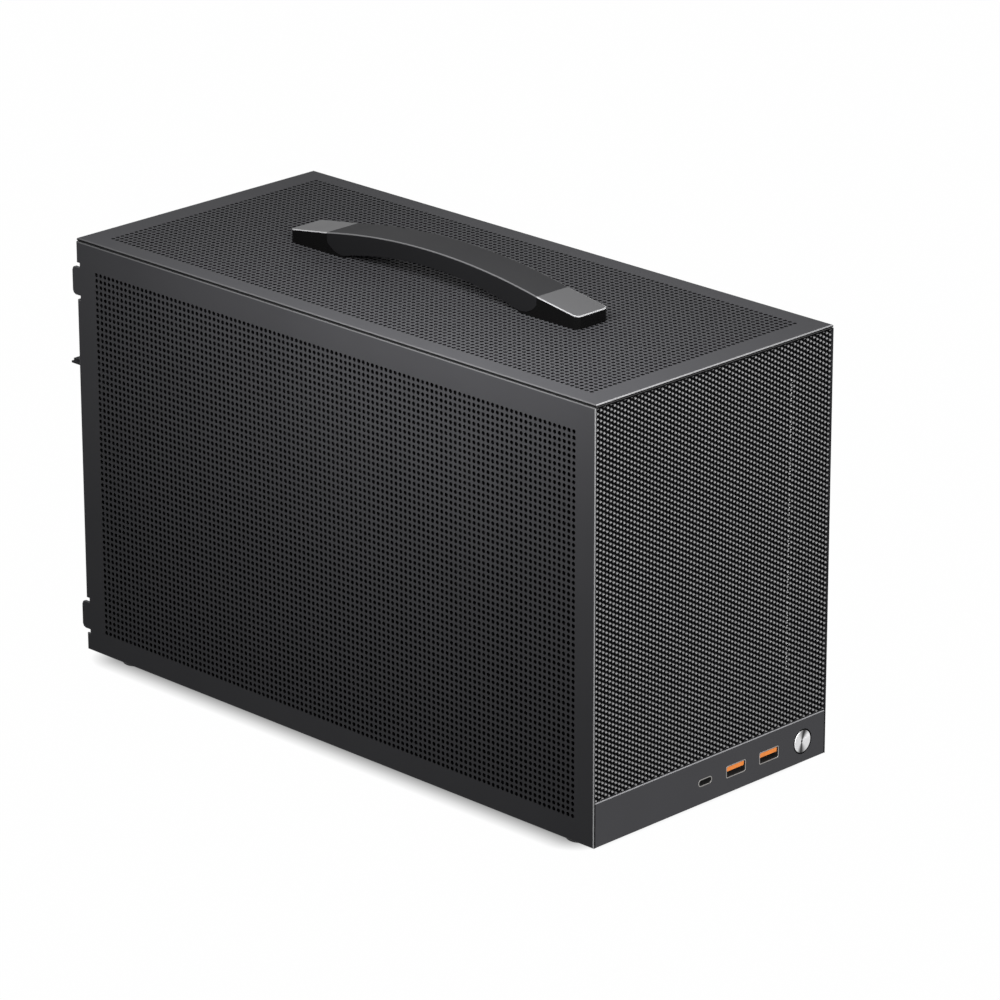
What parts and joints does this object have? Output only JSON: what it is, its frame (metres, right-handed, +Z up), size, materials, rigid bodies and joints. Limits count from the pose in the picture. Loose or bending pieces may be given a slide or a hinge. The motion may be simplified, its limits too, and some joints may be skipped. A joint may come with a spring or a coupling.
{
  "type": "mini-itx pc case",
  "caption": "Small computer case of folded steel with perforated pull-off sides and top, a woven-look front over a port strip with a power button, and an arched carrying handle.",
  "frame": {"origin": "under the middle of the case, on the plane the feet stand on", "axes": "+X to the right seen from the front, +Y from the front to the rear, +Z up"},
  "size_m": [0.158, 0.358, 0.235],
  "materials": {
    "black_steel": "satin black powder coat",
    "dark_steel": "blackened steel fasteners",
    "brass": "turned brass",
    "black_plastic": "fine moulded texture",
    "board": "dark circuit board",
    "port_steel": "plated steel shells",
    "orange_plastic": "orange moulded tongues",
    "spun_aluminium": "spun face",
    "cap_plastic": "glossy black",
    "grip": "soft matte dark grey",
    "foot_rubber": "matte"
  },
  "bodies": {
    "case": {"bottom_pan": "black_steel", "top_frame": "black_steel", "front_wall": "black_steel", "rear_wall": "black_steel", "spine": "black_steel", "psu_bracket": "black_steel", "slot_ledge": "black_steel", "slot_cover_1": "black_steel", "slot_cover_2": "black_steel", "slot_cover_3": "black_steel", "top_cover": "black_steel", "port_strip": "black_steel", "switch_bracket": "black_steel", "slot_screws": "dark_steel", "inlet_screws": "dark_steel", "handle_screws": "dark_steel", "standoffs": "brass", "io_posts": "brass", "inlet_blades": "brass", "power_inlet": "black_plastic", "left_sockets": "black_plastic", "right_sockets": "black_plastic", "front_sockets": "black_plastic", "usb_c_tongue": "black_plastic", "power_switch": "black_plastic", "io_board": "board", "usb_a_shell_left": "port_steel", "usb_a_shell_right": "port_steel", "usb_c_shell": "port_steel", "usb_a_tongue_left": "orange_plastic", "usb_a_tongue_right": "orange_plastic", "handle_cap_front": "cap_plastic", "handle_cap_rear": "cap_plastic", "handle_grip": "grip", "foot_front_left": "foot_rubber", "foot_rear_left": "foot_rubber", "foot_front_right": "foot_rubber", "foot_rear_right": "foot_rubber"},
    "left_panel": {"left_panel": "black_steel", "left_panel_studs": "dark_steel"},
    "right_panel": {"right_panel": "black_steel", "right_panel_studs": "dark_steel"},
    "front_panel": {"front_mesh": "black_steel", "front_mesh_studs": "dark_steel"},
    "power_button": {"power_button": "spun_aluminium"}
  },
  "joints": [
    {"name": "left_panel_pull", "type": "slide", "parent": "case", "child": "left_panel", "axis": [-1, 0, 0], "range_m": [0, 0.08]},
    {"name": "right_panel_pull", "type": "slide", "parent": "case", "child": "right_panel", "axis": [1, 0, 0], "range_m": [0, 0.08]},
    {"name": "front_panel_pull", "type": "slide", "parent": "case", "child": "front_panel", "axis": [0, -1, 0], "range_m": [0, 0.06]},
    {"name": "power_button_press", "type": "slide", "parent": "case", "child": "power_button", "axis": [0, 1, 0], "range_m": [0, 0.001], "stiffness_N_per_m": 1500}
  ]
}
